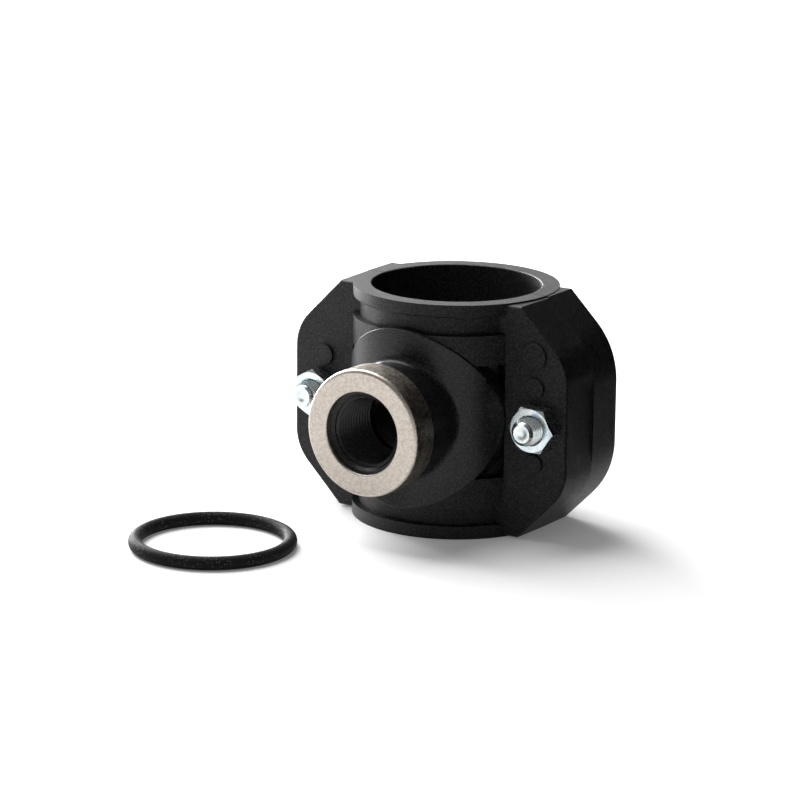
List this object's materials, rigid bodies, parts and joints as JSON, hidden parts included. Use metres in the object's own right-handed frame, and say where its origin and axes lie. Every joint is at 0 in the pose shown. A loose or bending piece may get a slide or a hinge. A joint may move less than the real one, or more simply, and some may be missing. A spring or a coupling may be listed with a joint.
{
  "type": "tapping saddle",
  "caption": "Bolted plastic saddle for a pipe, with a threaded outlet inside a stainless ring and a loose rubber seal ring beside it.",
  "frame": {"origin": "where the pipe's axis crosses the outlet's axis, half way along the saddle", "axes": "+Z along the pipe's axis, -Y out of the outlet, +X towards the ear on the right when the outlet faces the viewer"},
  "size_m": [0.1365, 0.1583, 0.0876],
  "materials": {
    "black_plastic": "fine grained, low sheen",
    "stainless": "satin",
    "zinc_steel": "bright zinc plated",
    "black_rubber": "dull moulded rubber"
  },
  "bodies": {
    "upper": {"upper_saddle": "black_plastic", "reinforcing_ring": "stainless", "seal_ring": "black_rubber"},
    "lower": {"lower_saddle": "black_plastic", "bolt_left": "zinc_steel", "bolt_right": "zinc_steel"},
    "left_nut": {"nut_left": "zinc_steel"},
    "right_nut": {"nut_right": "zinc_steel"}
  },
  "joints": [
    {"name": "halves_open", "type": "slide", "parent": "upper", "child": "lower", "axis": [0, 1, 0], "range_m": [0, 0.0042]},
    {"name": "left_nut_turn", "type": "hinge", "parent": "upper", "child": "left_nut", "pos_m": [-0.0475, -0.0225, 0], "axis": [0, -1, 0], "range_deg": [0, 1010]},
    {"name": "right_nut_turn", "type": "hinge", "parent": "upper", "child": "right_nut", "pos_m": [0.0475, -0.0225, 0], "axis": [0, -1, 0], "range_deg": [0, 1010]}
  ],
  "couplings": [
    {"joint": "left_nut_turn", "follows": "halves_open", "rad_per_m": 4188.8},
    {"joint": "right_nut_turn", "follows": "halves_open", "rad_per_m": 4188.8}
  ]
}
